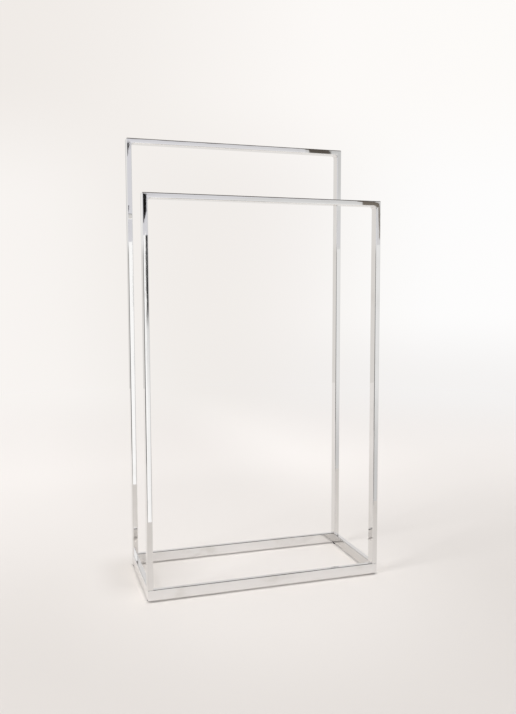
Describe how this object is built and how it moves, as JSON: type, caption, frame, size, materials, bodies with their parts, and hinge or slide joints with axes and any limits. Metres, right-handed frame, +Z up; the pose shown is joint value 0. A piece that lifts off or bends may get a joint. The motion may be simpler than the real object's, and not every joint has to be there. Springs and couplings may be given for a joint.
{
  "type": "valet stand",
  "caption": "Free-standing valet stand: a tall rear and a lower front portal frame of polished rectangular tube, bolted to a rectangular base frame on small glides.",
  "frame": {"origin": "on the floor, under the middle of the base", "axes": "+Z up, front (the lower frame) towards -Y, +X to the right as seen from the front"},
  "size_m": [0.45, 0.205, 0.85],
  "materials": {
    "polished_chrome": "mirror-polished chrome plate over steel",
    "bare_steel": "turned steel, oiled",
    "zinc_plate": "bright zinc plate",
    "black_nylon": "moulded, slightly rough"
  },
  "bodies": {
    "root": {"base_front_bar": "polished_chrome", "base_left_bar": "polished_chrome", "base_rear_bar": "polished_chrome", "base_right_bar": "polished_chrome", "front_left_corner_weld": "polished_chrome", "front_left_foot_plug": "bare_steel", "front_left_foot_screw": "zinc_plate", "front_left_glide": "black_nylon", "front_left_lock_washer": "zinc_plate", "front_left_upright": "polished_chrome", "front_right_corner_weld": "polished_chrome", "front_right_foot_plug": "bare_steel", "front_right_foot_screw": "zinc_plate", "front_right_glide": "black_nylon", "front_right_lock_washer": "zinc_plate", "front_right_upright": "polished_chrome", "front_top_rail": "polished_chrome", "rear_left_corner_weld": "polished_chrome", "rear_left_foot_plug": "bare_steel", "rear_left_foot_screw": "zinc_plate", "rear_left_glide": "black_nylon", "rear_left_lock_washer": "zinc_plate", "rear_left_upright": "polished_chrome", "rear_right_corner_weld": "polished_chrome", "rear_right_foot_plug": "bare_steel", "rear_right_foot_screw": "zinc_plate", "rear_right_glide": "black_nylon", "rear_right_lock_washer": "zinc_plate", "rear_right_upright": "polished_chrome", "rear_top_rail": "polished_chrome"}
  },
  "joints": []
}
